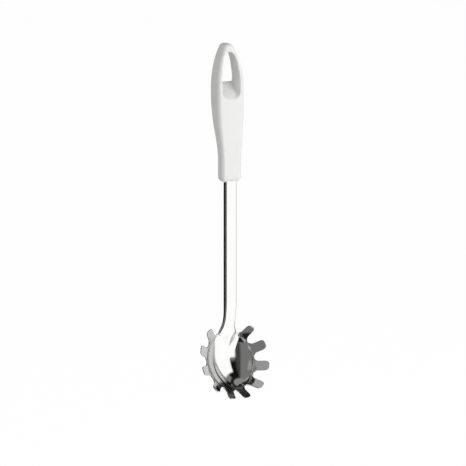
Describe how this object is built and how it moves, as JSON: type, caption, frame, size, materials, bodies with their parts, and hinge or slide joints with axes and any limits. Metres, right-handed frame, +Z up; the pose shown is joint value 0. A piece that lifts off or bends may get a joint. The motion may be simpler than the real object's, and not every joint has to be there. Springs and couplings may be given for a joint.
{
  "type": "pasta server",
  "caption": "Pasta server: an oval steel bowl edged with flared fingers, on a channel shaft, in a moulded handle with a thumb scoop and a hanging hole.",
  "frame": {"origin": "top of the hanging hole, in the middle of the handle's thickness there: where a hook bears", "axes": "+Z up along the shaft, from the bowl to the hanging hole; -Y is the open side of the bowl; X is the width"},
  "size_m": [0.066, 0.0377, 0.3158],
  "materials": {
    "polished_steel": "polished",
    "core_plastic": "as moulded",
    "white_plastic": "gloss"
  },
  "bodies": {
    "root": {"server_blade": "polished_steel", "tang_core": "core_plastic", "handle_shell": "white_plastic"}
  },
  "joints": []
}
